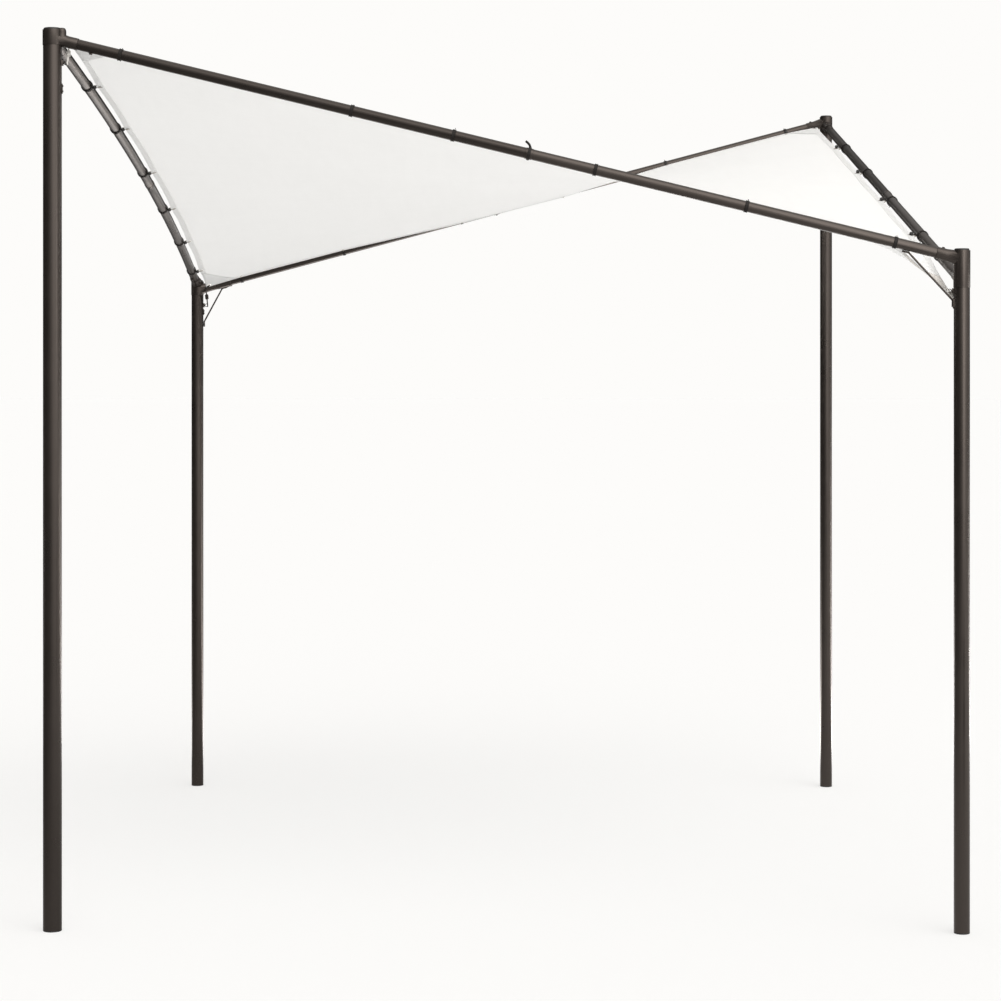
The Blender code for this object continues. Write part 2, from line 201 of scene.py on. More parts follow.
def beam_ends(beam):
    high, high_drop, low, low_drop = BEAMS[beam][:4]
    return (post_axis(high, POSTS[high][2] - high_drop),
            post_axis(low, POSTS[low][2] - low_drop))


def along_matrix(start, end):
    """Matrix at start whose Z runs to end, and whose X is level and points to the inside."""
    z_axis = (end - start).normalized()
    middle = (start + end) / 2
    x_axis = z_axis.cross(Vector((0, 0, 1))).normalized()
    if x_axis.dot(middle.xy.to_3d()) > 0:
        x_axis.negate()
    turn = Matrix((x_axis, z_axis.cross(x_axis), z_axis)).transposed()
    return Matrix.Translation(start) @ turn.to_4x4()


def bow_at(beam, along):
    if beam != BOWED_BEAM:
        return 0.0
    start, end = beam_ends(beam)
    sleeve = SLEEVE_REACH / (end - start).length
    share = min(max((along - sleeve) / (1 - 2 * sleeve), 0), 1)
    return 4 * BOW * share * (1 - share)


def beam_point(beam, along):
    start, end = beam_ends(beam)
    inwards = along_matrix(start, end).col[0].to_3d()
    return start.lerp(end, along) + inwards * bow_at(beam, along)


def tie_matrix(beam, place):
    """Matrix on a beam's axis, Z along the beam and X towards the edge of the sail."""
    turn = along_matrix(beam_point(beam, place - 0.01), beam_point(beam, place + 0.01))
    aim = Matrix.Translation(beam_point(beam, place)) @ turn.to_3x3().to_4x4()
    below = math.radians(TIE_SLOPES.get((beam, place), 0))
    if aim.col[1].z > 0:
        below = -below
    return aim @ Matrix.Rotation(below, 4, "Z")


def arms_at(post):
    """For each beam that meets a post: its name, that end of its axis and the other end."""
    arms = []
    for beam, (high, _, low, _, _) in BEAMS.items():
        start, end = beam_ends(beam)
        if post == high:
            arms.append((beam, start, end))
        if post == low:
            arms.append((beam, end, start))
    return arms


def cleat_middle(post):
    x_side, _, top, radius, below = POSTS[post]
    return post_axis(post, top - below) - Vector((x_side * (radius + CLEAT_PROUD), 0, 0))


def sail_corner(post):
    """Corner of the sail beside a post, level with the lower beam."""
    x_side, y_side = POSTS[post][:2]
    x_inset, y_inset = CORNERS[post]
    heights = [near.lerp(far, y_inset / (far - near).length).z for _, near, far in arms_at(post)]
    return post_axis(post, min(heights)) - Vector((x_side * x_inset, y_side * y_inset, 0))


def lashed_corner(post):
    """Corner of the sail, where its lashing holds it."""
    drop = LOW_CORNER_DROP if post == LOW_CORNER else 0.0
    return sail_corner(post) - Vector((0, 0, drop))


def edge_points(beam):
    """(share, point) along one edge of the sail, in the +X or +Y direction."""
    high, _, low, _, ties = BEAMS[beam]
    points = [(0.0, sail_corner(high))]
    points += [(place, tie_matrix(beam, place) @ Vector((SAIL_INSET, 0, 0))) for place in ties]
    points.append((1.0, sail_corner(low)))
    if POSTS[high][0] + POSTS[high][1] > 0:
        points = [(1 - share, point) for share, point in reversed(points)]
    return points


# The stretched surface of the sail

def on_edge(points, share, inwards):
    """Point at a share of an edge that curves in a little from tie to tie."""
    for (low, start), (high, end) in zip(points, points[1:]):
        if share <= high:
            part = (share - low) / (high - low)
            return start.lerp(end, part) + inwards * (SCALLOP * 4 * part * (1 - part))
    return points[-1][1]


def stretched_surface():
    """Grid of points, first index along Y and second along X, that starts as the saddle
    between the four edges, is folded down to the low corner from the ties beside it, and is
    relaxed as a stretched cloth is."""
    edges = {beam: edge_points(beam) for beam in BEAMS}
    insides = {"front": Vector((0, 1, 0)), "back": Vector((0, -1, 0)),
               "left": Vector((1, 0, 0)), "right": Vector((-1, 0, 0))}
    shares = [step / CELLS for step in range(CELLS + 1)]
    rims = {beam: np.array([on_edge(edges[beam], share, insides[beam]) for share in shares])
            for beam in BEAMS}
    u = np.array(shares)[None, :, None]
    v = np.array(shares)[:, None, None]
    across = (1 - v) * rims["front"][None, :, :] + v * rims["back"][None, :, :]
    along = (1 - u) * rims["left"][:, None, :] + u * rims["right"][:, None, :]
    corners = ((1 - v) * ((1 - u) * rims["front"][0] + u * rims["front"][-1])
               + v * ((1 - u) * rims["back"][0] + u * rims["back"][-1]))
    grid = across + along - corners
    folded = 1 - (1 - u) / (1 - edges["front"][-2][0]) - v / edges["right"][1][0]
    grid[:, :, 2:] -= LOW_CORNER_DROP * np.maximum(folded, 0)
    for _ in range(RELAX_STEPS):
        grid[1:-1, 1:-1] = (grid[:-2, 1:-1] + grid[2:, 1:-1]
                            + grid[1:-1, :-2] + grid[1:-1, 2:]) / 4
    return grid


GRID = stretched_surface()
SIDE = float(np.linalg.norm(GRID[CELLS // 2, -1] - GRID[CELLS // 2, 0]))


def on_sail(u, v):
    """Point of the sail's middle surface, u along X and v along Y."""
    column = min(max(u, 0), 1) * CELLS
    row = min(max(v, 0), 1) * CELLS
    i, j = min(int(column), CELLS - 1), min(int(row), CELLS - 1)
    a, b = column - i, row - j
    point = ((1 - b) * ((1 - a) * GRID[j, i] + a * GRID[j, i + 1])
             + b * ((1 - a) * GRID[j + 1, i] + a * GRID[j + 1, i + 1]))
    return Vector(point)


def sail_frame(u, v, heading=(1, 0)):
    """Matrix on the sail: Z is its upward normal, and X follows the heading in (u, v)."""
    step = 0.5 / CELLS
    across = on_sail(min(u + step, 1), v) - on_sail(max(u - step, 0), v)
    along = on_sail(u, min(v + step, 1)) - on_sail(u, max(v - step, 0))
    normal = across.cross(along).normalized()
    x_axis = (across.normalized() * heading[0] + along.normalized() * heading[1])
    x_axis = (x_axis - normal * x_axis.dot(normal)).normalized()
    turn = Matrix((x_axis, normal.cross(x_axis), normal)).transposed()
    return Matrix.Translation(on_sail(u, v)) @ turn.to_4x4()


def rim_uv(side, share, inset):
    """(u, v) at a share of one side of the sail, an inset in metres in from its edge."""
    depth = inset / SIDE
    return {"front": (share, depth), "back": (share, 1 - depth),
            "left": (depth, share), "right": (1 - depth, share)}[side]


def rim_frame(side, share, inset):
    """Matrix on the sail near an edge: X runs along the edge and Z is the upward normal."""
    heading = (1, 0) if side in ("front", "back") else (0, 1)
    return sail_frame(*rim_uv(side, share, inset), heading)


# Mesh helpers

def new_object(name, bm, mats):
    mesh = bpy.data.meshes.new(name)
    bmesh.ops.recalc_face_normals(bm, faces=bm.faces)
    bm.to_mesh(mesh)
    bm.free()
    mesh.shade_smooth()
    mesh.set_sharp_from_angle(angle=math.radians(SHARP_ANGLE))
    obj = bpy.data.objects.new(name, mesh)
    bpy.context.scene.collection.objects.link(obj)
    for mat in mats:
        mesh.materials.append(mat)
    return obj


def close_loops(bm, loops, slot=0, closed_path=False):
    """Joins rings of vertices into a tube, and caps its ends unless the path is closed."""
    pairs = list(zip(loops, loops[1:]))
    if closed_path:
        pairs.append((loops[-1], loops[0]))
    for first, second in pairs:
        for k in range(len(first)):
            face = bm.faces.new((first[k - 1], first[k], second[k], second[k - 1]))
            face.material_index = slot
    if not closed_path:
        bm.faces.new(loops[0][::-1]).material_index = slot
        bm.faces.new(loops[-1]).material_index = slot


def lathe(bm, matrix, profile, sides=24, slot=0):
    """Turns a closed profile of (radius, height) points about the matrix's Z."""
    loops = []
    for step in range(sides):
        angle = 2 * math.pi * step / sides
        loops.append([bm.verts.new(matrix @ Vector((r * math.cos(angle), r * math.sin(angle), h)))
                      for r, h in profile])
    close_loops(bm, loops, slot, closed_path=True)


def knob(bm, matrix, profile, sides=16, slot=0):
    """Turns an open profile of (radius, height) points and closes it flat at both ends."""
    loops = []
    for r, h in profile:
        loops.append([bm.verts.new(matrix @ Vector((r * math.cos(2 * math.pi * k / sides),
                                                    r * math.sin(2 * math.pi * k / sides), h)))
                      for k in range(sides)])
    close_loops(bm, loops, slot)


def sweep(bm, points, radius, sides=8, slot=0, closed=False):
    """A round tube along points, whose rings don't twist."""
    count = len(points)
    loops = []
    side = None
    for k, point in enumerate(points):
        before = points[k - 1] if k or closed else point
        after = points[(k + 1) % count] if k + 1 < count or closed else point
        ahead = (after - before).normalized()
        if side is None:
            side = ahead.orthogonal()
        side = (side - ahead * side.dot(ahead)).normalized()
        up = ahead.cross(side)
        loops.append([bm.verts.new(point + (side * math.cos(2 * math.pi * s / sides)
                                            + up * math.sin(2 * math.pi * s / sides)) * radius)
                      for s in range(sides)])
    close_loops(bm, loops, slot, closed)


def smooth_path(points, steps=6, closed=False):
    """Points of a smooth curve through the given ones."""
    count = len(points)
    spans = count if closed else count - 1
    path = []
    for k in range(spans):
        a = points[k - 1] if k or closed else points[0]
        b, c = points[k], points[(k + 1) % count]
        d = points[(k + 2) % count] if k + 2 < count or closed else points[-1]
        for step in range(steps):
            t = step / steps
            path.append(((b * 2) + (c - a) * t + (a * 2 - b * 5 + c * 4 - d) * t * t
                         + (b * 3 - a - c * 3 + d) * t ** 3) / 2)
    if not closed:
        path.append(points[-1])
    return path


def hex_head(bm, matrix, radius, height):
    """A hexagon bolt's head with a chamfered top, on a round washer."""
    knob(bm, matrix, [(radius * 1.35, 0), (radius * 1.35, height * 0.22)], 20)
    loops = []
    for r, h in ((radius, 0.2), (radius, 0.85), (radius * 0.9, 1.0)):
        loops.append([bm.verts.new(matrix @ Vector((r * math.cos(math.pi * k / 3),
                                                    r * math.sin(math.pi * k / 3), h * height)))
                      for k in range(6)])
    close_loops(bm, loops)


def facing(point, outwards):
    """Matrix at a point whose Z looks outwards."""
    z_axis = outwards.normalized()
    x_axis = z_axis.orthogonal().normalized()
    turn = Matrix((x_axis, z_axis.cross(x_axis), z_axis)).transposed()
    return Matrix.Translation(point) @ turn.to_4x4()


# Materials

def material(name, colour, roughness, metallic=0.0):
    mat = bpy.data.materials.new(name)
    mat.use_nodes = True
    shader = mat.node_tree.nodes["Principled BSDF"]
    shader.inputs["Base Color"].default_value = (*colour, 1)
    shader.inputs["Roughness"].default_value = roughness
    shader.inputs["Metallic"].default_value = metallic
    return mat, shader


def node(mat, kind, **inputs):
    made = mat.node_tree.nodes.new(kind)
    for name, value in inputs.items():
        made.inputs[name].default_value = value
    return made


def link(mat, out, into):
    mat.node_tree.links.new(out, into)


def texture_space(mat):
    return node(mat, "ShaderNodeTexCoord").outputs["Object"]


def noise(mat, space, scale, detail=3.0, roughness=0.5, stretch=None):
    """Noise, finer for a larger scale, drawn out along an axis that has a small stretch."""
    if stretch:
        mapping = node(mat, "ShaderNodeMapping", Scale=stretch)
        link(mat, space, mapping.inputs["Vector"])
        space = mapping.outputs["Vector"]
    made = node(mat, "ShaderNodeTexNoise", Scale=scale, Detail=detail, Roughness=roughness)
    link(mat, space, made.inputs["Vector"])
    return made.outputs["Fac"]


def remap(mat, value, low, high, to_low, to_high):
    made = node(mat, "ShaderNodeMapRange", **{
        "From Min": low, "From Max": high, "To Min": to_low, "To Max": to_high})
    link(mat, value, made.inputs["Value"])
    return made.outputs["Result"]


def blend_colour(mat, share, first, second):
    made = mat.node_tree.nodes.new("ShaderNodeMix")
    made.data_type = "RGBA"
    for socket, value in ((made.inputs[6], first), (made.inputs[7], second)):
        if isinstance(value, tuple):
            socket.default_value = (*value, 1)
        else:
            link(mat, value, socket)
    link(mat, share, made.inputs[0])
    return made.outputs[2]


def bump(mat, height, distance, strength=1.0, before=None):
    made = node(mat, "ShaderNodeBump", Strength=strength, Distance=distance)
    link(mat, height, made.inputs["Height"])
    if before:
        link(mat, before, made.inputs["Normal"])
    return made.outputs["Normal"]


def product(mat, first, second):
    made = mat.node_tree.nodes.new("ShaderNodeMath")
    made.operation = "MULTIPLY"
    link(mat, first, made.inputs[0])
    link(mat, second, made.inputs[1])
    return made.outputs[0]


def waves(mat, space, axis, scale):
    made = mat.node_tree.nodes.new("ShaderNodeTexWave")
    made.bands_direction = axis
    made.inputs["Scale"].default_value = scale
    made.inputs["Distortion"].default_value = 0.0
    link(mat, space, made.inputs["Vector"])
    return made.outputs["Fac"]


def painted_steel():
    """Dark brown powder coat: a fine orange peel, with dull patches and light scuffs."""
    mat, shader = material("powder_coat", (0.062, 0.052, 0.046), 0.30, 0.78)
    space = texture_space(mat)
    cloud = noise(mat, space, 9.0, 4.0)
    grain = noise(mat, space, 700.0, 2.0)
    peel = noise(mat, space, 260.0, 2.0)
    scuff = remap(mat, noise(mat, space, 60.0, 6.0, 0.7, (1, 1, 0.12)), 0.66, 0.74, 0, 1)
    tone = blend_colour(mat, cloud, (0.056, 0.0465, 0.041), (0.068, 0.057, 0.050))
    tone = blend_colour(mat, remap(mat, scuff, 0, 1, 0, 0.35), tone, (0.085, 0.075, 0.068))
    link(mat, tone, shader.inputs["Base Color"])
    link(mat, remap(mat, cloud, 0.3, 0.7, 0.26, 0.35), shader.inputs["Roughness"])
    low = bump(mat, peel, 0.00012, 0.35)
    link(mat, bump(mat, grain, 0.00004, 0.35, low), shader.inputs["Normal"])
    return mat


def moulded_plastic():
    """Black plastic with a moulded grain."""
    mat, shader = material("moulded_plastic", (0.018, 0.016, 0.015), 0.55)
    space = texture_space(mat)
    grain = noise(mat, space, 900.0, 2.0)
    cloud = noise(mat, space, 40.0, 3.0)
    link(mat, blend_colour(mat, cloud, (0.014, 0.0125, 0.0115), (0.024, 0.0215, 0.020)),
         shader.inputs["Base Color"])
    link(mat, remap(mat, cloud, 0.3, 0.7, 0.46, 0.62), shader.inputs["Roughness"])
    link(mat, bump(mat, grain, 0.00012, 0.5), shader.inputs["Normal"])
    return mat


def woven_cloth(name, light, dark, see_through):
    """Woven polyester that lets some light through, with thicker threads here and there."""
    mat, shader = material(name, light, 0.82)
    space = texture_space(mat)
    slub = noise(mat, space, 30.0, 4.0, 0.6, (1, 0.06, 1))
    slub_across = noise(mat, space, 30.0, 4.0, 0.6, (0.06, 1, 1))
    cloud = noise(mat, space, 3.0, 3.0)
    mixed = blend_colour(mat, slub, light, dark)
    mixed = blend_colour(mat, remap(mat, slub_across, 0.35, 0.75, 0, 0.5), mixed, dark)
    mixed = blend_colour(mat, remap(mat, cloud, 0.3, 0.7, 0, 0.35), mixed, light)
    link(mat, mixed, shader.inputs["Base Color"])
    over = waves(mat, space, "X", WEAVE_SCALE)
    under = waves(mat, space, "Y", WEAVE_SCALE)
    weave = product(mat, over, under)
    shader.inputs["Sheen Weight"].default_value = 0.15
    shader.inputs["Sheen Roughness"].default_value = 0.5
    relief = bump(mat, weave, 0.00015, 0.3)
    relief = bump(mat, slub, 0.0004, 0.25, relief)
    link(mat, relief, shader.inputs["Normal"])
    link(mat, remap(mat, slub, 0.3, 0.7, 0.76, 0.9), shader.inputs["Roughness"])
    through = mat.node_tree.nodes.new("ShaderNodeBsdfTranslucent")
    link(mat, mixed, through.inputs["Color"])
    link(mat, relief, through.inputs["Normal"])
    mix = node(mat, "ShaderNodeMixShader", Fac=see_through)
    link(mat, shader.outputs["BSDF"], mix.inputs[1])
    link(mat, through.outputs["BSDF"], mix.inputs[2])
    link(mat, mix.outputs["Shader"], mat.node_tree.nodes["Material Output"].inputs["Surface"])
    return mat


def braided(name, light, dark, scale, roughness):
    """Braided or woven synthetic cord and webbing."""
    mat, shader = material(name, light, roughness)
    space = texture_space(mat)
    shader.inputs["Specular IOR Level"].default_value = 0.2
    cell = node(mat, "ShaderNodeTexVoronoi", Scale=scale)
    link(mat, space, cell.inputs["Vector"])
    cloud = noise(mat, space, 60.0, 3.0)
    tone = blend_colour(mat, cloud, dark, light)
    tone = blend_colour(mat, remap(mat, cell.outputs["Distance"], 0.0, 0.8, 0, 0.6), tone, dark)
    link(mat, tone, shader.inputs["Base Color"])
    link(mat, remap(mat, cloud, 0.3, 0.7, roughness - 0.07, roughness + 0.07),
         shader.inputs["Roughness"])
    link(mat, bump(mat, cell.outputs["Distance"], 0.0003, 0.6), shader.inputs["Normal"])
    return mat


def plated_metal(name, light, dark, roughness):
    """Plated fittings with fine scratches."""
    mat, shader = material(name, light, roughness, 1.0)
    space = texture_space(mat)
    scratch = noise(mat, space, 400.0, 4.0, 0.6, (1, 0.15, 1))
    link(mat, blend_colour(mat, noise(mat, space, 90.0, 3.0), light, dark),
         shader.inputs["Base Color"])
    link(mat, remap(mat, scratch, 0.3, 0.7, roughness - 0.1, roughness + 0.14),
         shader.inputs["Roughness"])
    link(mat, bump(mat, scratch, 0.00005, 0.4), shader.inputs["Normal"])
    return mat


STEEL = painted_steel()
PLASTIC = moulded_plastic()
WHITE_THREADS = ((0.955, 0.955, 0.95), (0.915, 0.915, 0.91))
CREAM_THREADS = ((0.955, 0.925, 0.885), (0.925, 0.89, 0.845))
CLOTH = woven_cloth("sail_cloth_woven", *WHITE_THREADS, 0.48)
HEM = woven_cloth("hem_cloth_woven", *WHITE_THREADS, 0.46)
CREAM = woven_cloth("low_corner_cloth", *CREAM_THREADS, 0.34)
THREAD = braided("stitching_thread", (0.78, 0.77, 0.74), (0.62, 0.61, 0.58), 1500.0, 0.6)
WEBBING = braided("tie_webbing_dark", (0.030, 0.025, 0.022), (0.012, 0.010, 0.009), 900.0, 0.62)
CORD = braided("tie_cord_tan", (0.42, 0.37, 0.30), (0.26, 0.22, 0.18), 1400.0, 0.7)
ROPE = braided("lashing_rope_pale", (0.80, 0.78, 0.74), (0.62, 0.60, 0.56), 1100.0, 0.72)
DARK_ROPE = braided("lashing_rope_dark", (0.060, 0.050, 0.044), (0.025, 0.021, 0.019), 1100.0, 0.66)
EYELET = plated_metal("eyelet_nickel", (0.62, 0.60, 0.57), (0.50, 0.48, 0.45), 0.34)


def seat(piece):
    """Holds a piece to the frame."""
    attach(piece, "root")


# The carried-over solids

def smooth_group():
    """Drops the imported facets' normals and shades all but the hard edges smooth."""
    group = bpy.data.node_groups.new("smooth_by_angle", "GeometryNodeTree")
    for way in ("INPUT", "OUTPUT"):
        group.interface.new_socket("Geometry", in_out=way, socket_type="NodeSocketGeometry")
    nodes, links = group.nodes, group.links
    start = nodes.new("NodeGroupInput")
    drop = nodes.new("GeometryNodeRemoveAttribute")
    drop.inputs["Name"].default_value = "custom_normal"
    faces = nodes.new("GeometryNodeSetShadeSmooth")
    edges = nodes.new("GeometryNodeSetShadeSmooth")
    edges.domain = "EDGE"
    edges.inputs["Shade Smooth"].default_value = False
    angle = nodes.new("GeometryNodeInputMeshEdgeAngle")
    sharp = nodes.new("FunctionNodeCompare")
    sharp.operation = "GREATER_THAN"
    sharp.inputs["B"].default_value = math.radians(SOLID_SHARP_ANGLE)
    end = nodes.new("NodeGroupOutput")
    links.new(angle.outputs["Unsigned Angle"], sharp.inputs["A"])
    links.new(sharp.outputs["Result"], edges.inputs["Selection"])
    for first, second in zip((start, drop, faces, edges), (drop, faces, edges, end)):
        links.new(first.outputs[0], second.inputs[0])
    return group


def finish_solid(name, mat, edge, group):
    """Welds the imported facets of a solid, rounds its edges and gives it its material."""
    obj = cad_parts[name]
    weld = obj.modifiers.new("weld", "WELD")
    weld.merge_threshold = 0.00002
    bevel = obj.modifiers.new("round_edges", "BEVEL")
    bevel.width = edge
    bevel.segments = 3
    bevel.limit_method = "ANGLE"
    bevel.angle_limit = math.radians(50)
    smooth = obj.modifiers.new("smooth", "NODES")
    smooth.node_group = group
    for slot in obj.material_slots:
        slot.material = mat


def finish_solids():
    group = smooth_group()
    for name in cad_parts:
        kind = name.split("_")[0]
        if kind in ("post", "bracket", "beam", "brace"):
            finish_solid(name, STEEL, 0.0004, group)
        if kind in ("foot", "cap"):
            finish_solid(name, PLASTIC, 0.0005, group)


# Cloth pieces


def make_sail():
    bm = bmesh.new()
    rows = [[bm.verts.new(GRID[j, i]) for i in range(CELLS + 1)] for j in range(CELLS + 1)]
    for low, high in zip(rows, rows[1:]):
        for i in range(CELLS):
            bm.faces.new((low[i], low[i + 1], high[i + 1], high[i]))
    sail = new_object("sail_cloth", bm, [CLOTH])
    solid = sail.modifiers.new("thickness", "SOLIDIFY")
    solid.thickness = CLOTH_THICK
    solid.offset = 0
    return sail


def make_hem():
    """A folded hem round a thin rope, along each side."""
    bead = [(-HEM_BEAD * math.sin(turn), HEM_BEAD * math.cos(turn))
            for turn in (math.radians(30 * step) for step in range(1, 6))]
    bm = bmesh.new()
    for side in BEAMS:
        lift = SIDE_LIFT if side in ("left", "right") else 0.0
        half = HEM_HALF + lift
        section = [(HEM_WIDE, half * 0.7), (HEM_WIDE - 0.0006, half), (HEM_WIDE * 0.5, half),
                   (HEM_BEAD * 1.6, half)] + bead
        section += [(HEM_BEAD * 1.6, -half), (HEM_WIDE * 0.5, -half),
                    (HEM_WIDE - 0.0006, -half), (HEM_WIDE, -half * 0.7)]
        steps = round(SIDE / HEM_STEP)
        loops = []
        for step in range(steps + 1):
            share = step / steps
            edge = rim_frame(side, share, 0)
            inner = rim_frame(side, share, HEM_WIDE)
            normal = edge.col[2].to_3d()
            inwards = (inner.translation - edge.translation) / HEM_WIDE
            loops.append([bm.verts.new(edge.translation + inwards * inset + normal * height)
                          for inset, height in section])
        close_loops(bm, loops)
    return new_object("sail_hem", bm, [HEM])


def stitch_row(bm, frames, height):
    """Short threads that lie on both faces of the cloth."""
    for matrix in frames:
        for side in (1, -1):
            loops = []
            for share, radius in ((-0.5, 0.5), (-0.25, 1.0), (0.25, 1.0), (0.5, 0.5)):
                corners = ((0, 1), (-1, -0.3), (1, -0.3))
                loops.append([bm.verts.new(matrix @ Vector((
                    share * STITCH_LONG, y * STITCH_R * radius,
                    side * (height + z * STITCH_R * radius)))) for y, z in corners])
            close_loops(bm, loops)


def make_stitches():
    """Two rows of stitches along the hem, which leave out the eyelets."""
    reach = EYELET_R + STITCH_LONG / 2 + STITCH_CLEAR
    corners = [(sail_frame(*corner_uv(post)).translation, reach * CORNER_EYELET)
               for post in POSTS]
    bm = bmesh.new()
    for side in BEAMS:
        eyelets = corners + [(matrix.translation, reach) for matrix in tie_frames(side)]
        lift = SIDE_LIFT if side in ("left", "right") else 0.0
        for inset in STITCH_ROWS:
            count = round(SIDE / STITCH_PITCH)
            frames = [rim_frame(side, (step + 0.5) / count, inset) for step in range(count)]
            frames = [matrix for matrix in frames
                      if all((matrix.translation - middle).length > away
                             for middle, away in eyelets)]
            stitch_row(bm, frames, HEM_HALF + lift)
    return new_object("sail_stitches", bm, [THREAD])


def make_patches(name, posts, cloth):
    """A triangle of doubled cloth in a corner, on both faces."""
    bm = bmesh.new()
    for post in posts:
        x_side, y_side = POSTS[post][:2]
        for face in (1, -1):
            height = face * (CLOTH_THICK / 2 + PATCH_LIFT)
            rows = []
            for j in range(PATCH_STEPS + 1):
                row = []
                for i in range(PATCH_STEPS + 1 - j):
                    u, v = (PATCH_SIDE * k / PATCH_STEPS / SIDE for k in (i, j))
                    u = u if x_side < 0 else 1 - u
                    v = v if y_side < 0 else 1 - v
                    row.append(bm.verts.new(sail_frame(u, v) @ Vector((0, 0, height))))
                rows.append(row)
            for low, high in zip(rows, rows[1:]):
                for i in range(len(high)):
                    bm.faces.new((low[i], low[i + 1], high[i]))
                    if i + 1 < len(high):
                        bm.faces.new((low[i + 1], high[i + 1], high[i]))
    patches = new_object(name, bm, [cloth])
    solid = patches.modifiers.new("thickness", "SOLIDIFY")
    solid.thickness = PATCH_THICK
    solid.offset = 0
    return patches


def corner_uv(post):
    x_side, y_side = POSTS[post][:2]
    depth = (EYELET_IN + 0.004) / SIDE
    return depth if x_side < 0 else 1 - depth, depth if y_side < 0 else 1 - depth


def tie_share(beam, place):
    """Share of a side of the sail, in the +X or +Y direction, for a tie's place."""
    high = BEAMS[beam][0]
    return 1 - place if POSTS[high][0] + POSTS[high][1] > 0 else place


def tie_frames(beam):
    return [rim_frame(beam, tie_share(beam, place), EYELET_IN) for place in BEAMS[beam][4]]


def make_eyelets():
    """Pressed metal rings through the hem, at the ties and in the corners."""
    middle = (EYELET_R + EYELET_HOLE) / 2
    lip = 0.0011
    profile = [(EYELET_HOLE, lip), (EYELET_HOLE + 0.0008, lip + 0.0006), (middle, lip + 0.0007),
               (EYELET_R, lip), (EYELET_R, 0.0005), (EYELET_R, -0.0005), (EYELET_R, -lip),
               (middle, -lip - 0.0007), (EYELET_HOLE + 0.0008, -lip - 0.0006),
               (EYELET_HOLE, -lip)]
    profile = [(r, h + (0.0004 if h > 0 else -0.0004)) for r, h in profile]
    bm = bmesh.new()
    for beam in BEAMS:
        for matrix in tie_frames(beam):
            lathe(bm, matrix, profile, 24)
    for post in POSTS:
        scale = Matrix.Diagonal((CORNER_EYELET, CORNER_EYELET, CORNER_EYELET, 1))
        lathe(bm, sail_frame(*corner_uv(post)) @ scale, profile, 28)
    return new_object("sail_eyelets", bm, [EYELET])


# Ties and lashings

def make_tie(beam, number, place, eyelet):
    """A strap wound round the beam, its ball, and a loop of cord through the eyelet."""
    matrix = tie_matrix(beam, place)
    bore, rim = BEAM_R + BORE_SLACK, BAND_R + BAND_RIM
    half = [(bore, BAND_HALF), (BAND_R, BAND_HALF), (rim, BAND_HALF - 0.0004),
            (rim, BAND_HALF - 0.0014), (BAND_R, BAND_HALF - 0.0018)]
    band = half + [(radius, -height) for radius, height in reversed(half)]
    bm = bmesh.new()
    lathe(bm, matrix, band, 40, 0)
    below = 1 if matrix.col[1].z < 0 else -1
    out, turned = BALLS[beam]
    hang = matrix @ Matrix.Rotation(math.radians(below * turned), 4, "Z")
    ball = hang @ Vector((out, 0, 0))
    anchor = matrix @ Vector((BAND_R + 0.0012, 0, -0.001))
    towards = (eyelet.translation - anchor).normalized()
    outwards = (ball - matrix.translation).normalized()
    turns = [math.radians(15 * step) for step in range(1, 12)]
    profile = [(BALL_R * math.sin(turn), -BALL_R * math.cos(turn)) for turn in turns]
    knob(bm, facing(ball, outwards), profile, 20, 1)
    sweep(bm, smooth_path([hang @ Vector((BAND_R, 0.0016, 0)),
                           ball - outwards * 0.003], 3), CORD_R * 1.4, 8, 0)
    tail = matrix @ Matrix.Rotation(math.radians(random.uniform(60, 115)), 4, "Z")
    sweep(bm, smooth_path([tail @ Vector((BAND_R + 0.0004, 0.002, 0.001)),
                           tail @ Vector((BAND_R + 0.0022, 0, 0.001)),
                           tail @ Vector((BAND_R + 0.0048, -0.003, 0.0015))], 3), 0.0011, 6, 1)
    normal = eyelet.col[2].to_3d()
    inner = eyelet.translation
    start = anchor + towards * 0.003
    slack = Vector((0, 0, -0.0014))
    loop = [start + normal * 0.0008, start.lerp(inner, 0.55) + normal * 0.0042 + slack,
            inner - towards * 0.001 + normal * 0.0036, inner + towards * 0.0016,
            inner - towards * 0.001 - normal * 0.0036,
            start.lerp(inner, 0.5) - normal * 0.0042 + slack, start - normal * 0.0008]
    sweep(bm, smooth_path(loop, 5), CORD_R, 8, 2)
    tie = new_object(f"wound_tie_{beam}_{number}", bm, [WEBBING, PLASTIC, CORD])
    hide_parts(f"tie_{beam}_{number}")
    seat(tie)
    return tie


